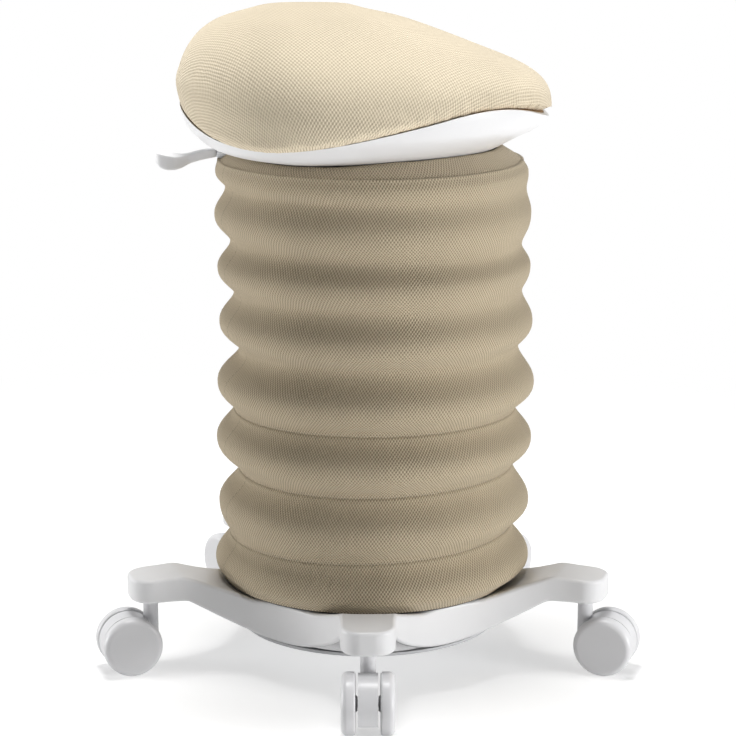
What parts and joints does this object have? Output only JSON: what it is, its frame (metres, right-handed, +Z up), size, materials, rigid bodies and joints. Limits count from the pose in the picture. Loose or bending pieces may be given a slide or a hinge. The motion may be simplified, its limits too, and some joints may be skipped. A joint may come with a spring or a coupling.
{
  "type": "wobble stool",
  "caption": "Tilting work stool with a saddle seat, gas lift, lever, fabric bellows and a five-armed caster base.",
  "frame": {"origin": "on the floor below the tilt joint's centre, which the column stands over at rest", "axes": "+Z up along the column, +X towards the seat's nose, -Y along one arm of the base"},
  "size_m": [0.4594, 0.4374, 0.551],
  "materials": {
    "white_plastic": "glossy white moulded nylon",
    "grey_plastic": "satin grey moulded plastic",
    "caster_plastic": "light grey-white moulded nylon",
    "black_plastic": "black moulded plastic",
    "nylon": "natural acetal",
    "steel": "zinc-plated steel",
    "painted_steel": "black powder-coated steel",
    "cast_metal": "die-cast, as cast",
    "rubber": "black natural rubber",
    "seat_fabric": "cream spacer mesh over foam",
    "bellows_fabric": "beige spacer mesh, padded",
    "board": "moulded plywood, unfinished"
  },
  "bodies": {
    "base": {"base_star": "white_plastic", "base_cover": "grey_plastic", "cover_screws": "steel", "caster_sockets": "black_plastic", "caster_stems": "steel", "caster_collars": "black_plastic", "pivot_frame": "painted_steel", "frame_bolts": "steel", "tilt_x_pins": "steel", "buffer_ring": "rubber", "bellows_foot_ring": "black_plastic", "bellows_foot_fold": "bellows_fabric", "hoop_foot": "steel"},
    "gimbal": {"gimbal_ring": "cast_metal", "tilt_y_pins": "steel", "bellows_tilt_x_fold": "bellows_fabric", "hoop_tilt": "steel"},
    "column": {"column_cup": "cast_metal", "outer_tube": "painted_steel", "guide_bush": "nylon", "thrust_bearing": "steel", "bellows_tilt_y_fold": "bellows_fabric", "bellows_upper_folds": "bellows_fabric", "hoops_upper": "steel"},
    "rod": {"piston_rod": "steel", "rod_clip": "steel"},
    "seat": {"gas_cylinder": "painted_steel", "mechanism": "painted_steel", "lever_pin": "steel", "seat_bolts": "steel", "seat_shell": "white_plastic", "seat_board": "board", "seat_cushion": "seat_fabric", "bellows_top_ring": "black_plastic"},
    "lever": {"height_lever": "steel", "lever_handle": "white_plastic"},
    "valve": {"valve_pin": "steel"},
    "caster_1": {"caster_1_fork": "caster_plastic", "caster_1_axle": "steel"},
    "caster_1_left_wheel": {"caster_1_wheel_left": "caster_plastic"},
    "caster_1_right_wheel": {"caster_1_wheel_right": "caster_plastic"},
    "caster_2": {"caster_2_fork": "caster_plastic", "caster_2_axle": "steel"},
    "caster_2_left_wheel": {"caster_2_wheel_left": "caster_plastic"},
    "caster_2_right_wheel": {"caster_2_wheel_right": "caster_plastic"},
    "caster_3": {"caster_3_fork": "caster_plastic", "caster_3_axle": "steel"},
    "caster_3_left_wheel": {"caster_3_wheel_left": "caster_plastic"},
    "caster_3_right_wheel": {"caster_3_wheel_right": "caster_plastic"},
    "caster_4": {"caster_4_fork": "caster_plastic", "caster_4_axle": "steel"},
    "caster_4_left_wheel": {"caster_4_wheel_left": "caster_plastic"},
    "caster_4_right_wheel": {"caster_4_wheel_right": "caster_plastic"},
    "caster_5": {"caster_5_fork": "caster_plastic", "caster_5_axle": "steel"},
    "caster_5_left_wheel": {"caster_5_wheel_left": "caster_plastic"},
    "caster_5_right_wheel": {"caster_5_wheel_right": "caster_plastic"}
  },
  "joints": [
    {"name": "tilt_x", "type": "hinge", "parent": "base", "child": "gimbal", "pos_m": [0, 0, 0.058], "axis": [1, 0, 0], "range_deg": [-7, 7], "stiffness_Nm_per_rad": 120, "deforming": ["bellows_tilt_x_fold", "buffer_ring"]},
    {"name": "tilt_y", "type": "hinge", "parent": "gimbal", "child": "column", "pos_m": [0, 0, 0.058], "axis": [0, 1, 0], "range_deg": [-7, 7], "stiffness_Nm_per_rad": 120, "deforming": ["bellows_tilt_y_fold"]},
    {"name": "swivel", "type": "hinge", "parent": "column", "child": "rod", "pos_m": [0, 0, 0.046], "axis": [0, 0, 1], "continuous": true},
    {"name": "lift", "type": "slide", "parent": "rod", "child": "seat", "axis": [0, 0, 1], "range_m": [-0.1, 0], "deforming": ["bellows_upper_folds", "hoops_upper"]},
    {"name": "lever", "type": "hinge", "parent": "seat", "child": "lever", "pos_m": [-0.06, 0, 0.421], "axis": [0, 1, 0], "range_deg": [0, 2.6], "stiffness_Nm_per_rad": 4},
    {"name": "valve", "type": "slide", "parent": "seat", "child": "valve", "axis": [0, 0, 1], "range_m": [-0.0028, 0]},
    {"name": "caster_1_swivel", "type": "hinge", "parent": "base", "child": "caster_1", "pos_m": [0, -0.192, 0.05], "axis": [0, 0, 1], "continuous": true},
    {"name": "caster_1_left_roll", "type": "hinge", "parent": "caster_1", "child": "caster_1_left_wheel", "pos_m": [0, -0.211, 0.025], "axis": [1, 0, 0], "continuous": true},
    {"name": "caster_1_right_roll", "type": "hinge", "parent": "caster_1", "child": "caster_1_right_wheel", "pos_m": [0, -0.211, 0.025], "axis": [1, 0, 0], "continuous": true},
    {"name": "caster_2_swivel", "type": "hinge", "parent": "base", "child": "caster_2", "pos_m": [0.1826, -0.05933, 0.05], "axis": [0, 0, 1], "continuous": true},
    {"name": "caster_2_left_roll", "type": "hinge", "parent": "caster_2", "child": "caster_2_left_wheel", "pos_m": [0.20067, -0.0652, 0.025], "axis": [0.309, 0.9511, 0], "continuous": true},
    {"name": "caster_2_right_roll", "type": "hinge", "parent": "caster_2", "child": "caster_2_right_wheel", "pos_m": [0.20067, -0.0652, 0.025], "axis": [0.309, 0.9511, 0], "continuous": true},
    {"name": "caster_3_swivel", "type": "hinge", "parent": "base", "child": "caster_3", "pos_m": [0.11285, 0.15533, 0.05], "axis": [0, 0, 1], "continuous": true},
    {"name": "caster_3_left_roll", "type": "hinge", "parent": "caster_3", "child": "caster_3_left_wheel", "pos_m": [0.12402, 0.1707, 0.025], "axis": [-0.809, 0.5878, 0], "continuous": true},
    {"name": "caster_3_right_roll", "type": "hinge", "parent": "caster_3", "child": "caster_3_right_wheel", "pos_m": [0.12402, 0.1707, 0.025], "axis": [-0.809, 0.5878, 0], "continuous": true},
    {"name": "caster_4_swivel", "type": "hinge", "parent": "base", "child": "caster_4", "pos_m": [-0.11285, 0.15533, 0.05], "axis": [0, 0, 1], "continuous": true},
    {"name": "caster_4_left_roll", "type": "hinge", "parent": "caster_4", "child": "caster_4_left_wheel", "pos_m": [-0.12402, 0.1707, 0.025], "axis": [-0.809, -0.5878, 0], "continuous": true},
    {"name": "caster_4_right_roll", "type": "hinge", "parent": "caster_4", "child": "caster_4_right_wheel", "pos_m": [-0.12402, 0.1707, 0.025], "axis": [-0.809, -0.5878, 0], "continuous": true},
    {"name": "caster_5_swivel", "type": "hinge", "parent": "base", "child": "caster_5", "pos_m": [-0.1826, -0.05933, 0.05], "axis": [0, 0, 1], "continuous": true},
    {"name": "caster_5_left_roll", "type": "hinge", "parent": "caster_5", "child": "caster_5_left_wheel", "pos_m": [-0.20067, -0.0652, 0.025], "axis": [0.309, -0.9511, 0], "continuous": true},
    {"name": "caster_5_right_roll", "type": "hinge", "parent": "caster_5", "child": "caster_5_right_wheel", "pos_m": [-0.20067, -0.0652, 0.025], "axis": [0.309, -0.9511, 0], "continuous": true}
  ],
  "couplings": [
    {"joint": "valve", "follows": "lever", "m_per_rad": -0.06}
  ]
}
